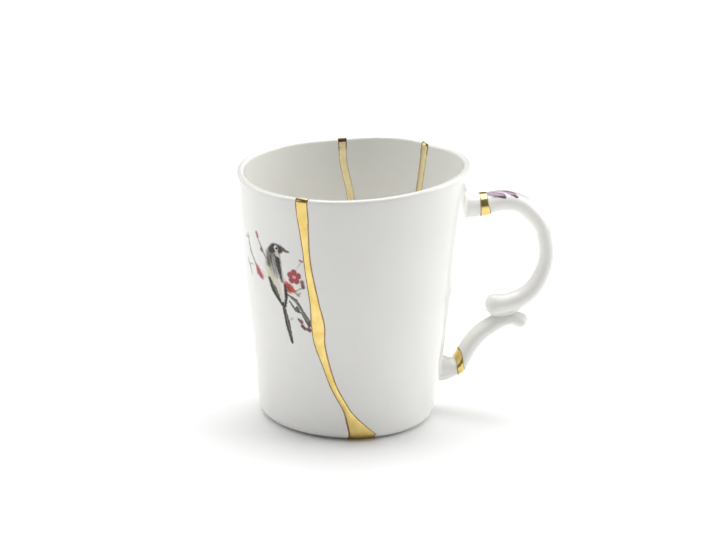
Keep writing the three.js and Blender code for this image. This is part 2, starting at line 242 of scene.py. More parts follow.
# Seams: how far they run past the floor's middle, how near it their edge lines end, a row's length, their
# edges' height over the glaze, and the share of the width that is flat on top
PAST_MIDDLE = 1.2 * MM
SEAM_MEETING = 2 * MM
SEAM_ROW = 0.4 * MM
EDGE_LIFT = 0.02 * MM
FLAT_TOP = 0.2

# The share of its height that a seam's ridge has at the foot, and how far up it has the whole
LOW_RIDGE = 0.15
RIDGE_RISE = 7 * MM

# In mm, what the edge line lacks inside the mug and on the bands, and painted shade low on the front seam's
# left
CLEAN_INSIDE = 0.25
CLEAN_BAND = 0.12
FOOT_SHADE = 0.3
FOOT_SHADE_FADE = (9 * MM, 15 * MM)

# Where the gold on the lip is made palest and dullest, in degrees up from facing straight outwards
CREST_SLOPE = 92

# Bands: the torus's tube before it is laid on the stem, the waver of its edges and its depth in the stem
TUBE_RADIUS = 0.25
BAND_WAVER = 0.12 * MM
BAND_DEPTH = 0.3 * MM

# Camera: distance in metres, angles in degrees, lens in mm, and target in mm from the mug's axis
CAMERA_DISTANCE = 0.9943
CAMERA_ELEVATION = 18.22
CAMERA_TURN = -10
CAMERA_ROLL = 1.776
CAMERA_LENS = 131.1
CAMERA_TARGET = (2.84, 0, 57.03)

# Softboxes: place from the camera's side and width, in metres, and power in watts
SOFTBOXES = {
    "left_softbox": ((-0.9, 0.15, 0.55), 0.9, 3.5),
    "right_softbox": ((0.9, 0.2, 0.5), 0.9, 6),
    "top_softbox": ((0, 0.3, 1.3), 1.2, 20.2),
}
LIGHT_AIM = (0, 0, 0.05)


def length(description, millimetres):
    """A size of the mug that a user can set."""
    return bpy.props.FloatProperty(
        description=description, default=millimetres * MM, min=0, unit="LENGTH", precision=4)


def colour(description, red, green, blue):
    """A colour of the mug that a user can set, in linear light."""
    return bpy.props.FloatVectorProperty(
        description=description, default=(red, green, blue), size=3, min=0, max=1, subtype="COLOR")


class MugSizes(bpy.types.PropertyGroup):
    """The mug's sizes."""

    rim_height: length("Mean height of the rim above the table", 98)
    rim_radius: length("Outer radius at the rim", RIM_RADIUS)
    foot_radius: length("Outer radius of the wall at the table", 33.4)
    belly: length("Swell past a straight taper", 1.2)
    corner_radius: length("Rounding from the wall to the foot ring", 4.5)
    ring_width: length("Width of the ring that touches the table", 3.1)
    recess_depth: length("Depth of the hollow inside the foot ring", 2)
    recess_slope: length("Slope from the ring up to the recess", 1.4)
    lip_thickness: length("The wall at its rounded lip", 2.6)
    low_thickness: length("The wall at the foot", 4)
    floor_thickness: length("The floor above the recess", 4)
    floor_fillet: length("Radius from the inner wall to the floor", 8)
    rim_rise: length("Rise towards the handle", 2.42)
    rim_wave: length("Height of the rim's second wave", 0.64)
    shard_lift: length("Step of the back shard above the rim", 1.05)
    seam_ridge: length("Height of the gold on the wall", 0.35)
    lip_ridge: length("Height of the gold on the lip", 0.18)
    inside_seam: length("Width of a seam inside the mug", 3)
    band_ridge: length("Height of the gold on the handle", 0.25)
    upper_root: length("Height of the handle's upper root", 81.4)
    lower_root: length("Height of the handle's lower root", 16)
    handle_reach: length("From the wall to the stem's middle", 35.3)
    root_fillet: length("Glaze fillet where the handle meets the wall", 1)


class MugColours(bpy.types.PropertyGroup):
    """The colours of the glaze, the gold and the painting."""

    glaze: colour("White glaze", 0.9, 0.896, 0.862)
    biscuit: colour("Unglazed foot ring", 0.72, 0.69, 0.64)
    gold: colour("Fired gold", 0.81, 0.64, 0.25)
    line: colour("Thin brown line along the gold", 0.2, 0.08, 0.03)


class Form:
    """The mug's surfaces, worked out from its sizes. Lengths are in metres."""

    # Turns of the rim's rise and second wave, and the powers that fade them and lift the belly
    rim_rise_turn = -10
    rim_wave_turn = -25.6
    wave_fade = 4
    belly_lift = 1.3

    # The back shard's part of a wave, and where its step down ends, as a share of its width
    shard_lean = 0.85
    shard_end = 1.06

    # Slopes of the lip, in degrees up from facing outwards, over which its painted shade starts and ends
    crest_start = (40, 70)
    crest_end = (85, 115)

    # Rows of the profile
    recess_rows = 8
    corner_rows = 10
    outer_rows = 36
    lip_rows = 12
    inner_rows = 26
    fillet_rows = 10

    def __init__(self, sizes):
        self.sizes = sizes
        self.axis = cad_box[0][0] + sizes.rim_radius

    def share(self, height):
        """A height as a share of the rim's, held between the foot and the rim."""
        return min(1, max(0, height / self.sizes.rim_height))

    def near_rim(self, height):
        """0 up to nine tenths of the rim's height, and 1 at the rim."""
        return smooth_step(0.9, 1, self.share(height))

    def wall_radius(self, height):
        """The outer radius of the wall at a height."""
        sizes = self.sizes
        share = self.share(height)
        taper = sizes.foot_radius + (sizes.rim_radius - sizes.foot_radius) * share
        return taper + sizes.belly * math.sin(math.pi * share ** self.belly_lift)

    def wall_thickness(self, height):
        """The thickness of the wall at a height."""
        sizes = self.sizes
        return sizes.low_thickness + (sizes.lip_thickness - sizes.low_thickness) * self.share(height)

    def rim_lift(self, turn):
        """How far the rim stands above its mean height at a turn."""
        sizes = self.sizes
        lift = sizes.rim_rise * cosine(turn - self.rim_rise_turn)
        lift += sizes.rim_wave * cosine(2 * (turn - self.rim_wave_turn))
        left, right = LEFT_BACK_SEAM["turns"][-1][1], RIGHT_BACK_SEAM["turns"][-1][1]
        share = (left - turn % 360) / (left - right)
        shard = sizes.shard_lift * math.sin(math.pi * self.shard_lean * min(1, max(0, share)))
        return lift + shard * (1 - smooth_step(1, self.shard_end, share))

    def lifted(self, turn, height):
        """A height with the rim's unevenness, which fades out down the wall."""
        return height + self.rim_lift(turn) * (height / self.sizes.rim_height) ** self.wave_fade

    def profile(self):
        """(radius, height, side) from the recess out, up the wall, over the lip and down to the floor."""
        sizes = self.sizes
        ring_outer = sizes.foot_radius - sizes.corner_radius
        ring_inner = ring_outer - sizes.ring_width
        recess = ring_inner - sizes.recess_slope
        points = []
        for share in spread(0, 1, self.recess_rows):
            height = sizes.recess_depth * (1 - smooth_step(0, 1, share))
            points.append((recess + sizes.recess_slope * share, height, "under"))
        points.append((ring_outer, 0, "under"))

        corner_reach = sizes.corner_radius + self.wall_radius(sizes.corner_radius) - sizes.foot_radius
        for angle in spread(0, 90, self.corner_rows)[1:-1]:
            radius = ring_outer + corner_reach * sine(angle)
            points.append((radius, sizes.corner_radius * (1 - cosine(angle)), "outside"))

        lip = sizes.lip_thickness / 2
        lip_height = sizes.rim_height - lip
        for height in spread(sizes.corner_radius, lip_height, self.outer_rows)[:-1]:
            points.append((self.wall_radius(height), height, "outside"))
        for angle in spread(0, 180, self.lip_rows):
            radius = sizes.rim_radius - lip + lip * cosine(angle)
            points.append((radius, lip_height + lip * sine(angle), "lip"))

        floor = sizes.recess_depth + sizes.floor_thickness
        fillet_top = floor + sizes.floor_fillet
        for height in spread(lip_height, fillet_top, self.inner_rows)[1:-1]:
            points.append((self.wall_radius(height) - self.wall_thickness(height), height, "inside"))
        fillet_middle = self.wall_radius(fillet_top) - self.wall_thickness(fillet_top) - sizes.floor_fillet
        for angle in spread(0, -90, self.fillet_rows):
            radius = fillet_middle + sizes.floor_fillet * cosine(angle)
            points.append((radius, fillet_top + sizes.floor_fillet * sine(angle), "inside"))
        return points

    def lip_crest(self, radius, height):
        """How close a point of the cup is to the lip's crest, where the glaze is greyed as painted shade."""
        lip = self.sizes.lip_thickness / 2
        up = height - self.sizes.rim_height + lip
        out = radius - self.sizes.rim_radius + lip
        slope = math.degrees(math.atan2(up, out))
        return smooth_step(*self.crest_start, slope) * (1 - smooth_step(*self.crest_end, slope))

    def handle_point(self, place):
        """Where a point of the handle lies in the upright plane through the axis: (x, height)."""
        out, up = place
        sizes = self.sizes
        height = sizes.lower_root + (sizes.upper_root - sizes.lower_root) * up
        return self.axis + self.wall_radius(height) + sizes.handle_reach * out, height


class Scroll:
    """One scroll of the handle: an oval section carried along a smooth curve from inside the wall."""

    # Steps of the curve, and those on either side that its direction is taken over
    route_steps = 400
    way_steps = 2

    # Rings along the fillet, in mm past the wall, the gap between the others, and the bulb's, which end at an
    # angle from its widest
    fillet_rings = (-0.3, 0, 0.04, 0.12, 0.25, 0.45, 0.7, 1, 1.4)
    ring_gap = 1.1
    bulb_rings = 10
    bulb_end = 88

    # How far past the wall the root follows the wall's curve
    hug_reach = 6 * MM

    def __init__(self, form, shape, root_height):
        self.form = form
        self.embed = form.wall_thickness(root_height) / 2
        self.root_height = root_height
        root = (form.axis + form.wall_radius(root_height) - self.embed, root_height)
        corners = [root] + [form.handle_point(place) for place in shape["path"]]
        chords = [0]
        for before, after in zip(corners, corners[1:]):
            chords.append(chords[-1] + math.dist(before, after))
        samples = spread(0, chords[-1], self.route_steps)
        across = list(zip(chords, [x for x, _ in corners]))
        up = list(zip(chords, [height for _, height in corners]))
        self.route = [Vector((value_at(across, at), 0, value_at(up, at))) for at in samples]
        self.distances = [0]
        for before, after in zip(self.route, self.route[1:]):
            self.distances.append(self.distances[-1] + (after - before).length)
        self.length = self.distances[-1]
        self.bulb = shape["bulb_half_height"] * MM
        self.bulb_place = self.length - self.bulb
        bulb_share = self.bulb_place / self.length
        self.half_heights = shape["half_heights"] + [(bulb_share, shape["bulb_half_height"])]
        self.half_widths = shape["half_widths"] + [(bulb_share, shape["bulb_half_width"])]
        self.band_near = shape["band_near"]
        self.band_far = shape["band_far"]

    def place(self, distance):
        """The point and the direction of the scroll's middle line at a distance from its root."""
        k = min(len(self.route) - 2, max(0, bisect.bisect(self.distances, distance) - 1))
        before, after = self.route[k], self.route[k + 1]
        share = (distance - self.distances[k]) / (self.distances[k + 1] - self.distances[k])
        smooth_before = self.route[max(0, k - self.way_steps)]
        smooth_after = self.route[min(len(self.route) - 1, k + 1 + self.way_steps)]
        return before.lerp(after, share), (smooth_after - smooth_before).normalized()

    def half_sizes(self, distance):
        """Half of the section's height and width, smaller only on the bulb's round end."""
        share = distance / self.length
        past = max(0, distance - self.bulb_place) / self.bulb
        full = math.sqrt(max(0, 1 - past ** 2))
        return value_at(self.half_heights, share) * MM * full, value_at(self.half_widths, share) * MM * full

    def rings(self):
        """(half height, half width, distance) of the rings that the stem is drawn through."""
        stations = [0] + [self.embed + step * MM for step in self.fillet_rings]
        start = stations[-1]
        count = round((self.bulb_place - start) / (self.ring_gap * MM))
        stations += spread(start, self.bulb_place, count)[1:]
        for angle in spread(0, self.bulb_end, self.bulb_rings)[1:]:
            stations.append(self.bulb_place + self.bulb * sine(angle))
        return [(*self.half_sizes(distance), distance) for distance in stations]

    def root_flare(self, distance):
        """How much wider the root is for its glaze fillet at a distance along the scroll."""
        fillet = self.form.sizes.root_fillet
        clear = min(fillet, max(0, distance - self.embed))
        return fillet - math.sqrt(fillet ** 2 - (fillet - clear) ** 2) if distance > 0 else 0

    def surface(self, distance, up, side):
        """A point beside the middle line, bent round the wall where the root meets it."""
        form = self.form
        middle, way = self.place(distance)
        outward = Vector((-way.z, 0, way.x))
        point = middle + outward * up - Vector((0, side, 0))
        wall = math.sqrt(max(0, form.wall_radius(point.z) ** 2 - side ** 2))
        hug = 1 - smooth_step(0, self.hug_reach, distance - self.embed)
        point.x += (wall - form.wall_radius(self.root_height)) * hug
        return point


def cosine(degrees):
    """The cosine of an angle in degrees."""
    return math.cos(math.radians(degrees))


def sine(degrees):
    """The sine of an angle in degrees."""
    return math.sin(math.radians(degrees))


def spread(start, end, steps):
    """Values in even steps from a start to an end, both among them."""
    return [start + (end - start) * step / steps for step in range(steps + 1)]


def smooth_step(low, high, value):
    """0 below low, 1 above high, and an S-curve between them."""
    share = min(1, max(0, (value - low) / (high - low)))
    return share * share * (3 - 2 * share)


def value_at(pairs, place):
    """A smooth curve through (place, value) pairs in rising order, level beyond both ends."""
    last = len(pairs) - 1
    at = min(pairs[last][0], max(pairs[0][0], place))
    after = max(1, next(k for k, pair in enumerate(pairs) if pair[0] >= at))

    def slope(k):
        low, high = pairs[max(k - 1, 0)], pairs[min(k + 1, last)]
        return (high[1] - low[1]) / (high[0] - low[0])

    start, end = pairs[after - 1], pairs[after]
    span = end[0] - start[0]
    t = (at - start[0]) / span
    ease = t * t * (3 - 2 * t)
    bend = slope(after - 1) * t * (1 - t) ** 2 - slope(after) * t * t * (1 - t)
    return start[1] + (end[1] - start[1]) * ease + bend * span


class Value:
    """A socket of a material, whose arithmetic adds Math nodes."""

    def __init__(self, graph, socket):
        self.graph = graph
        self.socket = socket

    def __add__(self, other):
        return self.graph.math("ADD", self, other)

    def __sub__(self, other):
        return self.graph.math("SUBTRACT", self, other)

    def __rsub__(self, other):
        return self.graph.math("SUBTRACT", other, self)

    def __mul__(self, other):
        return self.graph.math("MULTIPLY", self, other)


class Graph:
    """The node tree of one material."""

    def __init__(self, name):
        self.material = bpy.data.materials.new(name)
        self.material.use_nodes = True
        self.tree = self.material.node_tree
        self.shader = self.tree.nodes["Principled BSDF"]

    def node(self, kind, settings, values, output=0):
        """Add a node: its settings first, then the values or links of its sockets."""
        node = self.tree.nodes.new(kind)
        for key, setting in settings.items():
            setattr(node, key, setting)
        for key, value in values.items():
            self.feed(node.inputs[key], value)
        return Value(self, node.outputs[output])

    def feed(self, socket, value):
        """Link a socket to a value of the graph, or set it to a constant."""
        if isinstance(value, Value):
            self.tree.links.new(value.socket, socket)
        else:
            socket.default_value = value

    def math(self, operation, *values):
        return self.node("ShaderNodeMath", {"operation": operation}, dict(enumerate(values)))

    def held(self, value):
        """A value held between 0 and 1."""
        return self.math("MAXIMUM", self.math("MINIMUM", value, 1.0), 0.0)

    def vector(self, operation, *values, output=0):
        return self.node("ShaderNodeVectorMath", {"operation": operation}, dict(enumerate(values)), output)

    def mix(self, factor, first, second):
        """Blend two colours."""
        settings = {"data_type": "RGBA", "clamp_factor": True}
        return self.node("ShaderNodeMix", settings, {0: factor, 6: first, 7: second}, 2)

    def place(self):
        """The point on the surface, in the object's own coordinates."""
        return self.node("ShaderNodeTexCoord", {}, {}, "Object")

    def painted_place(self):
        """The point on the surface as the piece's own paint attribute gives it, in mm."""
        return self.node("ShaderNodeAttribute", {"attribute_name": "paint"}, {}, "Vector")

    def painted_part(self, axis):
        """One part of the piece's own paint attribute: 0, 1 or 2."""
        return self.node("ShaderNodeSeparateXYZ", {}, {0: self.painted_place()}, axis)

    def noise(self, place, scale, detail=2.0, output="Fac"):
        values = {"Vector": place, "Scale": scale, "Detail": detail}
        return self.node("ShaderNodeTexNoise", {}, values, output)

    def step(self, value, low, high):
        """0 below low, 1 above high, and even between them."""
        steepness = 1 / (high - low)
        return self.held(self.math("MULTIPLY_ADD", value, steepness, -low * steepness))

    def bump(self, height, strength, distance):
        values = {"Strength": strength, "Distance": distance, "Height": height}
        return self.node("ShaderNodeBump", {}, values)

    def set(self, **sockets):
        """Set or link the shader's sockets, named with _ for a space."""
        for key, value in sockets.items():
            self.feed(self.shader.inputs[key.replace("_", " ")], value)
        return self.material


def shaded(light, share=1):
    """A colour that keeps a share of its light, for a socket."""
    return (*[part * share for part in light], 1)


def stroke_cover(graph, place, softness, points):
    """How much a stroke of the brush covers: a tapering line through its points, with a soft edge."""
    cover = None
    for (x0, y0, start_half), (x1, y1, end_half) in zip(points, points[1:]):
        start, way = Vector((x0, y0, 0)), Vector((x1 - x0, y1 - y0, 0))
        offset = graph.vector("SUBTRACT", place, start)
        along = graph.vector("DOT_PRODUCT", offset, way / way.length_squared, output="Value")
        along = graph.held(along)
        nearest = graph.node("ShaderNodeVectorMath", {"operation": "SCALE"}, {0: way, "Scale": along})
        apart = graph.vector("DISTANCE", offset, nearest, output="Value")
        half = graph.math("MULTIPLY_ADD", along, end_half - start_half, start_half)
        part = graph.held(graph.math("MULTIPLY_ADD", half - apart, 1 / softness, 0.5))
        cover = part if cover is None else graph.math("MAXIMUM", cover, part)
    return cover


def paint(graph, ground, place, strokes):
    """Lay strokes over a ground colour, with the wavering edge and dry streaks of a brush."""
    waver = graph.noise(place, 0.9, output="Color")
    place = graph.vector("MULTIPLY_ADD", waver, (EDGE_WAVER, EDGE_WAVER, 0), place)
    place = graph.vector("ADD", place, (-EDGE_WAVER / 2, -EDGE_WAVER / 2, 0))
    bristles = graph.noise(graph.vector("MULTIPLY", place, BRISTLE_SCALES), 1.0, 3.0)
    dryness = graph.step(bristles, 0.2, 0.5)
    result = ground
    for ink, opacity, softness, *points in strokes:
        coat = dryness * (DRY_SHARE * opacity) + (1 - DRY_SHARE) * opacity
        cover = stroke_cover(graph, place, softness, points) * coat
        result = graph.mix(cover, result, (*INKS[ink], 1))
    return result


def blossom_strokes():
    """A five-petalled blossom: petals round a pale middle, with darker tips."""
    x, y = BLOSSOM_PLACE
    strokes = []
    for petal in range(PETALS):
        angle = 90 + 360 * petal / PETALS

        def out(distance, half_width):
            return x + distance * cosine(angle), y + distance * sine(angle), half_width

        petal_line = out(0.5 * BLOSSOM_RADIUS, 0.6 * PETAL_RADIUS), out(BLOSSOM_RADIUS, PETAL_RADIUS)
        strokes.append(("crimson", 0.95, 0.5, *petal_line))
        strokes.append(("rose", 0.6, 0.6, out(0.4, 0.25), out(1.1 * BLOSSOM_RADIUS, 0.1)))
    strokes.append(("blush", 0.95, 0.5, (x - 0.15, y, 0.65), (x + 0.15, y, 0.65)))
    strokes.append(("rust", 0.9, 0.3, (x - 0.1, y, 0.2), (x + 0.1, y, 0.2)))
    return strokes


def glaze_ground(graph, colours):
    """The colour of the white glaze: a faint cloudiness, a few pale grey specks and a lip crest greyed as
    painted shade.
    """
    place = graph.place()
    cloud = graph.noise(place, 38.0, 3.0)
    clouded = graph.step(cloud, 0.35, 0.7)
    ground = graph.mix(clouded, shaded(colours.glaze), shaded(colours.glaze, 0.975))
    specks = graph.step(graph.noise(place, 900.0, 0.0), 0.815, 0.84)
    ground = graph.mix(specks * 0.12, ground, (0.5, 0.48, 0.45, 1))
    # The lip's crest is greyed: painted shade
    return graph.mix(graph.painted_part(2), ground, shaded(colours.glaze, CREST_SHADE_GLAZE))


def finish_glaze(graph, base):
    """The gloss of the glaze: nearly smooth, with a slow ripple that its highlights show."""
    place = graph.place()
    ripple = graph.noise(place, 60.0, 1.0)
    roughness = graph.noise(place, 90.0, 2.0) * 0.06 + 0.07
    graph.set(Base_Color=base, Roughness=roughness, IOR=1.5, Normal=graph.bump(ripple, 0.08, 0.0004))
    return graph.material


def glaze_material(colours):
    """The plain white glaze."""
    graph = Graph("white_glaze")
    return finish_glaze(graph, glaze_ground(graph, colours))


def painted_material(name, colours, strokes):
    """The glaze with strokes of ink in it."""
    graph = Graph(name)
    ground = glaze_ground(graph, colours)
    return finish_glaze(graph, paint(graph, ground, graph.painted_place(), strokes))


def painted_wall_material(colours):
    """The glaze with the songbird, its blossom branch and their buds."""
    return painted_material("painted_glaze", colours, TWIGS + BUDS + blossom_strokes() + BIRD)


def painted_handle_material(colours):
    """The glaze with the brush motif on top of the handle."""
    return painted_material("handle_motif", colours, HANDLE_MOTIF)


def biscuit_material(colours):
    """The dry unglazed ring that the mug stands on."""
    graph = Graph("biscuit")
    place = graph.place()
    grain = graph.noise(place, 2500.0, 4.0)
    scuffs = graph.step(graph.noise(place, 300.0, 3.0), 0.5, 0.7)
    base = graph.mix(scuffs, shaded(colours.biscuit), shaded(colours.biscuit, 0.8))
    return graph.set(Base_Color=base, Roughness=grain * 0.2 + 0.6, Normal=graph.bump(grain, 0.3, 0.0001))


def gold_material(colours):
    """Fired gold: bright and a little uneven, with a fine brown line along its edges, dark brown painted
    shade on the lip, a paler painted highlight inside the mug, and paler, duller gold on the lip's crest.
    """
    graph = Graph("fired_gold")
    place = graph.place()
    edge, lip_shade, paleness = (graph.painted_part(k) for k in range(3))
    flow = graph.noise(place, 220.0, 2.0)
    deep = (*[part * share for part, share in zip(colours.gold, DEEP_GOLD)], 1)
    metal = graph.mix(graph.step(flow, 0.35, 0.75), shaded(colours.gold), deep)
    waver = graph.noise(place, 700.0, 1.0) * 0.3
    line = 1 - graph.step(edge + waver, *LINE_FADE)
    # Paler gold: a painted highlight inside the mug, and paler gold on the lip's crest
    base = graph.mix(paleness * 0.75, metal, PALE_GOLD)
    base = graph.mix(line * 0.85, base, shaded(colours.line))
    # Dark brown painted shade on the lip, from the edge line's colour
    base = graph.mix(lip_shade, base, shaded(colours.line, 0.3))
    roughness = graph.noise(place, 400.0, 3.0) * 0.12 + 0.16
    ripple = graph.noise(place, 260.0, 2.0)
    # The lip's crest is duller, less metallic and rougher
    pale_crest = graph.step(paleness, INSIDE_PALENESS, 1) * 0.75
    dull = graph.math("MAXIMUM", line * 0.7, pale_crest) * (1 - lip_shade)
    return graph.set(Base_Color=base, Metallic=1 - dull, Roughness=roughness + dull * 0.3,
                     Normal=graph.bump(ripple, 0.25, 0.0003))


def drawn_from_disc(name, rings, middle, segments):
    """A closed solid drawn out of a disc through rings of (half size in x, half size in y, height)."""
    first = rings[0]
    bpy.ops.mesh.primitive_circle_add(
        vertices=segments, radius=first[0], fill_type="TRIFAN", location=(middle, 0, first[2]))
    piece = bpy.context.object
    piece.name = name
    bpy.ops.object.mode_set(mode="EDIT")
    bpy.ops.mesh.select_all(action="SELECT")
    bpy.ops.transform.resize(value=(1, first[1] / first[0], 1), center_override=(middle, 0, first[2]))
    for before, after in zip(rings, rings[1:]):
        bpy.ops.mesh.extrude_region_move(TRANSFORM_OT_translate={"value": (0, 0, after[2] - before[2])})
        ratio = (after[0] / before[0], after[1] / before[1], 1)
        bpy.ops.transform.resize(value=ratio, center_override=(middle, 0, after[2]))
    bpy.ops.mesh.select_all(action="SELECT")
    bpy.ops.mesh.normals_make_consistent(inside=False)
    bpy.ops.object.mode_set(mode="OBJECT")
    bpy.ops.object.transform_apply(location=True, rotation=True, scale=True)
    bpy.ops.object.shade_smooth()
    return piece


def paint_attribute(piece, places):
    """Keep each vertex's place on the painted surface, in mm, for the materials to read."""
    attribute = piece.data.attributes.new("paint", "FLOAT_VECTOR", "POINT")
    for vertex, place in zip(attribute.data, places):
        vertex.vector = place


def turn_of(form, point):
    """A point's angle about the mug's axis, in degrees from the handle's direction."""
    return math.degrees(math.atan2(point.y, point.x - form.axis))


def make_body(form, colours):
    """The cup, drawn up from the recess under its foot, with its uneven rim."""
    rings = [(radius, radius, height) for radius, height, _ in form.profile()]
    body = drawn_from_disc("mug", rings, form.axis, segments=192)
    places = []
    for vertex in body.data.vertices:
        turn = turn_of(form, vertex.co)
        radius = math.hypot(vertex.co.x - form.axis, vertex.co.y)
        # How much painted shade greys the glaze near the lip's crest
        crest_shade = form.lip_crest(radius, vertex.co.z)
        places.append((math.radians(turn) * PAINT_RADIUS, vertex.co.z / MM, crest_shade))
        vertex.co.z = form.lifted(turn, vertex.co.z)
    paint_attribute(body, places)

    body.data.materials.append(glaze_material(colours))
    body.data.materials.append(painted_wall_material(colours))
    body.data.materials.append(biscuit_material(colours))
    left, right = PICTURE_ACROSS
    bottom, top = (height * MM for height in PICTURE_UP)
    bare_below = 0.3 * MM
    for face in body.data.polygons:
        across = math.radians(turn_of(form, face.center)) * PAINT_RADIUS
        outside = face.normal.dot(face.center - Vector((form.axis, 0, face.center.z))) > 0
        if outside and left < across < right and bottom < face.center.z < top:
            face.material_index = 1
        elif face.center.z < bare_below:
            face.material_index = 2
    return body


def make_scroll(name, scroll, colours):
    """A stem drawn through its rings, then bent along the scroll from inside the wall to its bulb."""
    stem = drawn_from_disc(name, scroll.rings(), 0, segments=64)
    places = []
    for vertex in stem.data.vertices:
        up, side, distance = vertex.co
        half_height, half_width = (half / MM for half in scroll.half_sizes(distance))
        around = math.atan2(side, up) * (half_height + half_width) / 2
        places.append((distance / MM, around, 0))
        spread = 1 + scroll.root_flare(distance) / scroll.half_sizes(min(distance, scroll.bulb_place))[0]
        vertex.co = scroll.surface(distance, up * spread, side * spread)
    paint_attribute(stem, places)
    stem.data.materials.append(glaze_material(colours))
    return stem


def paint_handle(stem, form, colours):
    """Give the top of the handle its brush motif."""
    stem.data.materials.append(painted_handle_material(colours))
    near, far = (form.axis + out * MM for out in MOTIF_OUT)
    bottom = form.sizes.upper_root - MOTIF_DROP * MM
    for face in stem.data.polygons:
        if near < face.center.x < far and face.center.z > bottom:
            face.material_index = 1


def make_web(form, colours):
    """The clay that fills the line where the scrolls meet."""
    x, height = form.handle_point(WEB_PLACE)
    bpy.ops.mesh.primitive_uv_sphere_add(segments=48, ring_count=24, radius=MM, location=(x, 0, height))
    web = bpy.context.object
    bpy.ops.object.mode_set(mode="EDIT")
    bpy.ops.mesh.select_all(action="SELECT")
    bpy.ops.transform.resize(value=WEB_HALF_SIZES, center_override=(x, 0, height))
    bpy.ops.object.mode_set(mode="OBJECT")
    web.rotation_euler.y = -math.radians(WEB_SLOPE)
    bpy.ops.object.transform_apply(location=True, rotation=True, scale=True)
    bpy.ops.object.shade_smooth()
    paint_attribute(web, [(0, 0, 0)] * len(web.data.vertices))
    web.data.materials.append(glaze_material(colours))
    return web


def joined(pieces):
    """Join pieces into the first of them."""
    bpy.ops.object.select_all(action="DESELECT")
    for piece in pieces:
        piece.select_set(True)
    bpy.context.view_layer.objects.active = pieces[0]
    bpy.ops.object.join()
    return pieces[0]


def belongs(piece):
    """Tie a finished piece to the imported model."""
    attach(piece, "root")
    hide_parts("mug")


def seam_half_width(form, seam, height, side, radius):
    """Half of a seam's width in metres: wide outside, even inside and narrower under the foot."""
    share = form.share(height)
    under = min(1, radius / form.sizes.foot_radius)
    shares = {"outside": 1, "lip": 1, "inside": form.near_rim(height), "under": under}
    inside = form.sizes.inside_seam
    return (inside + (value_at(seam["widths"], share) * MM - inside) * shares[side]) / 2


def seam_point(form, seam, point, across, raised):
    """A point of a seam: across runs from -1 to 1 between its edges, and raised is out of the porcelain."""
    sizes = form.sizes
    radius, height, side, way = point
    turn = math.radians(value_at(seam["turns"], form.share(height)))
    waver = 1 + 0.05 * noise.noise(Vector((height * 150, radius * 150, across)))
    offset = across * waver * seam_half_width(form, seam, height, side, abs(radius))
    radius += raised * way[0]
    straight_within = sizes.foot_radius - sizes.corner_radius - sizes.ring_width - 2 * MM
    if abs(radius) < straight_within:
        x = radius * math.cos(turn) - offset * math.sin(turn)
        y = radius * math.sin(turn) + offset * math.cos(turn)
    else:
        x = radius * math.cos(turn + offset / radius)
        y = radius * math.sin(turn + offset / radius)
    lifted = form.lifted(math.degrees(math.atan2(y, x)), height)
    return Vector((form.axis + x, y, max(0, lifted + raised * way[1]))), offset


def along_profile(profile, count):
    """Even steps along a profile: (radius, height, side, way out of the porcelain)."""
    distances = [0]
    for before, after in zip(profile, profile[1:]):
        distances.append(distances[-1] + math.dist(before[:2], after[:2]))
    ways = []
    for k in range(len(profile)):
        before, after = profile[max(0, k - 1)], profile[min(len(profile) - 1, k + 1)]
        ways.append(Vector((after[1] - before[1], before[0] - after[0])).normalized())
    points = []
    for distance in spread(0, distances[-1], count):
        k = min(len(profile) - 2, bisect.bisect_right(distances, distance) - 1)
        share = (distance - distances[k]) / (distances[k + 1] - distances[k])
        radius = profile[k][0] + (profile[k + 1][0] - profile[k][0]) * share
        height = profile[k][1] + (profile[k + 1][1] - profile[k][1]) * share
        points.append((radius, height, profile[k][2], ways[k].lerp(ways[k + 1], share)))
    return points


def gold_shade_and_paleness(seam, point):
    """How much dark brown painted shade the gold has at a point of a seam, and how pale it is made, each from
    0 to 1.
    """
    if point[2] != "lip":
        # Inside the mug the gold is made paler: painted highlight
        return 0, INSIDE_PALENESS if point[2] == "inside" else 0
    middle, reach, strength = seam["lip_shade"]
    slope = math.degrees(math.atan2(point[3].y, point[3].x))
    # Dark brown painted shade on the lip
    brown = strength * (1 - smooth_step(0.6, 1.2, abs(slope - middle) / reach))
    # On the lip's crest the gold is made paler and duller
    crest = 1 - smooth_step(20, 50, abs(slope - CREST_SLOPE))
    return brown, max(crest, INSIDE_PALENESS * smooth_step(90, 130, slope))


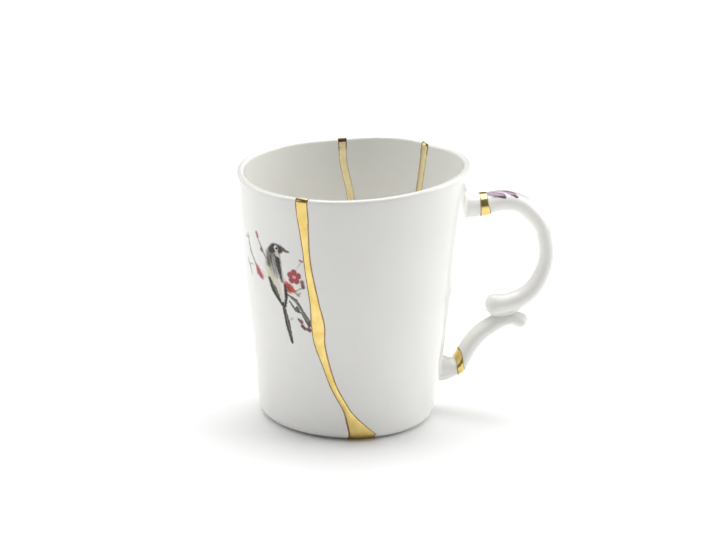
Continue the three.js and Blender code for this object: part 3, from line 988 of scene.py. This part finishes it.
def gold_strip(form, seam, profile):
    """A low rounded strip of gold along a stretch of the profile, from a flat grid."""
    sizes = form.sizes
    total = sum(math.dist(start[:2], end[:2]) for start, end in zip(profile, profile[1:]))
    rows = round(total / SEAM_ROW)
    points = along_profile(profile, rows)
    bpy.ops.mesh.primitive_grid_add(x_subdivisions=14, y_subdivisions=rows, size=2)
    strip = bpy.context.object
    places = []
    for vertex in strip.data.vertices:
        across = vertex.co.x
        point = points[round((vertex.co.y + 1) / 2 * rows)]
        radius, height, side, _ = point
        crest = sizes.seam_ridge + (sizes.lip_ridge - sizes.seam_ridge) * form.near_rim(height)
        low = {"under": LOW_RIDGE, "outside": smooth_step(0, RIDGE_RISE, height) + LOW_RIDGE}.get(side, 1)
        swell = 1 - smooth_step(FLAT_TOP, 1, abs(across))
        raised = EDGE_LIFT + crest * min(1, low) * swell
        place, offset = seam_point(form, seam, point, across, raised)
        half = seam_half_width(form, seam, height, side, abs(radius))
        meeting = max(0, SEAM_MEETING - abs(radius))
        edge = (half - abs(offset) + meeting) / MM
        if side == "inside":
            edge += CLEAN_INSIDE
        elif across < 0 and seam is FRONT_SEAM:
            # Low on the front seam's left the brown line is widened: painted shade
            edge -= FOOT_SHADE * (1 - smooth_step(*FOOT_SHADE_FADE, height))
        places.append((edge, *gold_shade_and_paleness(seam, point)))
        vertex.co = place
    paint_attribute(strip, places)
    modifier = strip.modifiers.new("thickness", "SOLIDIFY")
    modifier.thickness = 0.3 * MM
    modifier.offset = -1
    bpy.ops.object.modifier_apply(modifier=modifier.name)
    bpy.ops.object.shade_smooth()
    return strip


def make_seam(form, name, seam, material):
    """A gold seam: up the outside, over the lip, down to the middle of the floor, and in the recess."""
    profile = form.profile()
    shown = [point for point in profile if point[2] != "under"]
    shown.append((-PAST_MIDDLE, profile[-1][1], "inside"))
    under = [(-PAST_MIDDLE, profile[0][1], "under")] + profile[:3]
    strip = joined([gold_strip(form, seam, shown), gold_strip(form, seam, under)])
    strip.name = f"gold_seam_{name}"
    strip.data.materials.append(material)
    belongs(strip)
    return strip


def make_band(form, name, scroll, material):
    """A gold band round the handle, from a torus laid on the stem, with slightly uneven edges."""
    bpy.ops.mesh.primitive_torus_add(
        major_segments=96, minor_segments=20, major_radius=1, minor_radius=TUBE_RADIUS, location=(0, 0, 0))
    band = bpy.context.object
    band.name = f"gold_band_{name}"
    places = []
    for vertex in band.data.vertices:
        around = math.atan2(vertex.co.y, vertex.co.x)
        out = (math.hypot(vertex.co.x, vertex.co.y) - 1) / TUBE_RADIUS
        across = vertex.co.z / TUBE_RADIUS
        from_top = abs(math.degrees(around))
        near = value_at(scroll.band_near, from_top) * MM
        far = value_at(scroll.band_far, from_top) * MM
        spread = (far - near) / 2 + BAND_WAVER * math.sin(3 * around + 1)
        distance = (near + far) / 2 + across * spread
        raised = form.sizes.band_ridge * math.sqrt(out) if out > 0 else BAND_DEPTH * out
        half_height, half_width = scroll.half_sizes(distance)
        up = (half_height + raised) * math.cos(around)
        side = (half_width + raised) * math.sin(around)
        places.append((spread * (1 - abs(across)) / MM + CLEAN_BAND, 0, 0))
        vertex.co = scroll.surface(distance, up, side)
    paint_attribute(band, places)
    bpy.ops.object.mode_set(mode="EDIT")
    bpy.ops.mesh.select_all(action="SELECT")
    bpy.ops.mesh.normals_make_consistent(inside=False)
    bpy.ops.object.mode_set(mode="OBJECT")
    bpy.ops.object.shade_smooth()
    band.data.materials.append(material)
    belongs(band)
    return band


def make_scrolls(form):
    """Both scrolls of the handle."""
    return {
        "upper": Scroll(form, UPPER_SCROLL, form.sizes.upper_root),
        "lower": Scroll(form, LOWER_SCROLL, form.sizes.lower_root),
    }


class MUG_OT_porcelain(bpy.types.Operator):
    """Make the porcelain: the cup and the two scrolls of its handle"""

    bl_idname = "mug.porcelain"
    bl_label = "Porcelain mug"

    def execute(self, context):
        form, colours = Form(context.scene.mug_sizes), context.scene.mug_colours
        scrolls = make_scrolls(form)
        body = make_body(form, colours)
        upper = make_scroll("upper_scroll", scrolls["upper"], colours)
        lower = make_scroll("lower_scroll", scrolls["lower"], colours)
        paint_handle(upper, form, colours)
        belongs(joined([body, upper, lower, make_web(form, colours)]))
        return {"FINISHED"}


class MUG_OT_gold_seams(bpy.types.Operator):
    """Make the three gold seams of the mend"""

    bl_idname = "mug.gold_seams"
    bl_label = "Gold seams"

    def execute(self, context):
        form = Form(context.scene.mug_sizes)
        material = gold_material(context.scene.mug_colours)
        for name, seam in SEAMS.items():
            make_seam(form, name, seam, material)
        return {"FINISHED"}


class MUG_OT_gold_bands(bpy.types.Operator):
    """Make the gold bands near the handle's roots"""

    bl_idname = "mug.gold_bands"
    bl_label = "Gold bands"

    def execute(self, context):
        form = Form(context.scene.mug_sizes)
        material = gold_material(context.scene.mug_colours)
        for name, scroll in make_scrolls(form).items():
            make_band(form, name, scroll, material)
        return {"FINISHED"}


def camera_turn():
    """The turn of the camera's side about the mug's axis."""
    return Matrix.Rotation(math.radians(CAMERA_TURN), 3, "Z")


def make_camera(form):
    """The photograph's camera: a long lens, a little above the mug, with the handle turned slightly away."""
    view = camera_turn()
    back = Vector((0, -cosine(CAMERA_ELEVATION), sine(CAMERA_ELEVATION))) * CAMERA_DISTANCE
    place = view @ (Vector(CAMERA_TARGET) * MM + back) + Vector((form.axis, 0, 0))
    tilt = Matrix.Rotation(math.radians(90 - CAMERA_ELEVATION), 3, "X")
    roll = Matrix.Rotation(math.radians(CAMERA_ROLL), 3, "Z")
    data = bpy.data.cameras.new("camera")
    data.lens = CAMERA_LENS
    camera = bpy.data.objects.new("camera", data)
    camera.matrix_world = Matrix.Translation(place) @ (view @ tilt @ roll).to_4x4()
    bpy.context.collection.objects.link(camera)
    bpy.context.scene.camera = camera


def make_softbox(name, place, size, power):
    """A square soft light that looks at the mug."""
    data = bpy.data.lights.new(name, "AREA")
    data.size = size
    data.energy = power
    light = bpy.data.objects.new(name, data)
    light.location = place
    light.rotation_euler = (Vector(LIGHT_AIM) - place).to_track_quat("-Z", "Y").to_euler()
    bpy.context.collection.objects.link(light)


def make_floor():
    """The pale floor."""
    bpy.ops.mesh.primitive_plane_add(size=8, location=(0, 0, 0))
    floor = bpy.context.object
    floor.name = "floor"
    graph = Graph("pale_floor")
    floor.data.materials.append(graph.set(Base_Color=(0.97, 0.97, 0.97, 1), Roughness=0.9))


def make_world():
    """The even white light all round."""
    world = bpy.data.worlds.new("studio")
    world.use_nodes = True
    background = world.node_tree.nodes["Background"].inputs
    background["Color"].default_value = (1, 1, 1, 1)
    background["Strength"].default_value = 0.155
    return world


class MUG_OT_studio(bpy.types.Operator):
    """Make the studio: a pale floor, soft lights and the camera"""

    bl_idname = "mug.studio"
    bl_label = "Studio"

    def execute(self, context):
        make_camera(Form(context.scene.mug_sizes))
        make_floor()
        for name, (place, size, power) in SOFTBOXES.items():
            make_softbox(name, camera_turn() @ Vector(place), size, power)
        context.scene.world = make_world()
        context.scene.view_settings.view_transform = "Standard"
        return {"FINISHED"}


class MUG_PT_panel(bpy.types.Panel):
    """The mug's pieces"""

    bl_idname = "MUG_PT_panel"
    bl_label = "Mended mug"
    bl_space_type = "VIEW_3D"
    bl_region_type = "UI"
    bl_category = "Mug"

    def draw(self, context):
        for operator in OPERATORS:
            self.layout.operator(operator.bl_idname)
        for group in (context.scene.mug_sizes, context.scene.mug_colours):
            for name in group.bl_rna.properties.keys():
                if name not in ("rna_type", "name"):
                    self.layout.prop(group, name, text=name.replace("_", " ").capitalize())


OPERATORS = (MUG_OT_porcelain, MUG_OT_gold_seams, MUG_OT_gold_bands, MUG_OT_studio)
CLASSES = (MugSizes, MugColours, *OPERATORS, MUG_PT_panel)


def register():
    """Make the add-on's classes and settings known."""
    for cls in CLASSES:
        bpy.utils.register_class(cls)
    bpy.types.Scene.mug_sizes = bpy.props.PointerProperty(type=MugSizes)
    bpy.types.Scene.mug_colours = bpy.props.PointerProperty(type=MugColours)


def unregister():
    """Take the add-on's classes and settings away."""
    del bpy.types.Scene.mug_colours
    del bpy.types.Scene.mug_sizes
    for cls in reversed(CLASSES):
        bpy.utils.unregister_class(cls)


def main():
    """Make the mug in its studio."""
    register()
    bpy.ops.mug.porcelain()
    bpy.ops.mug.gold_seams()
    bpy.ops.mug.gold_bands()
    bpy.ops.mug.studio()


if __name__ == "__main__":
    main()
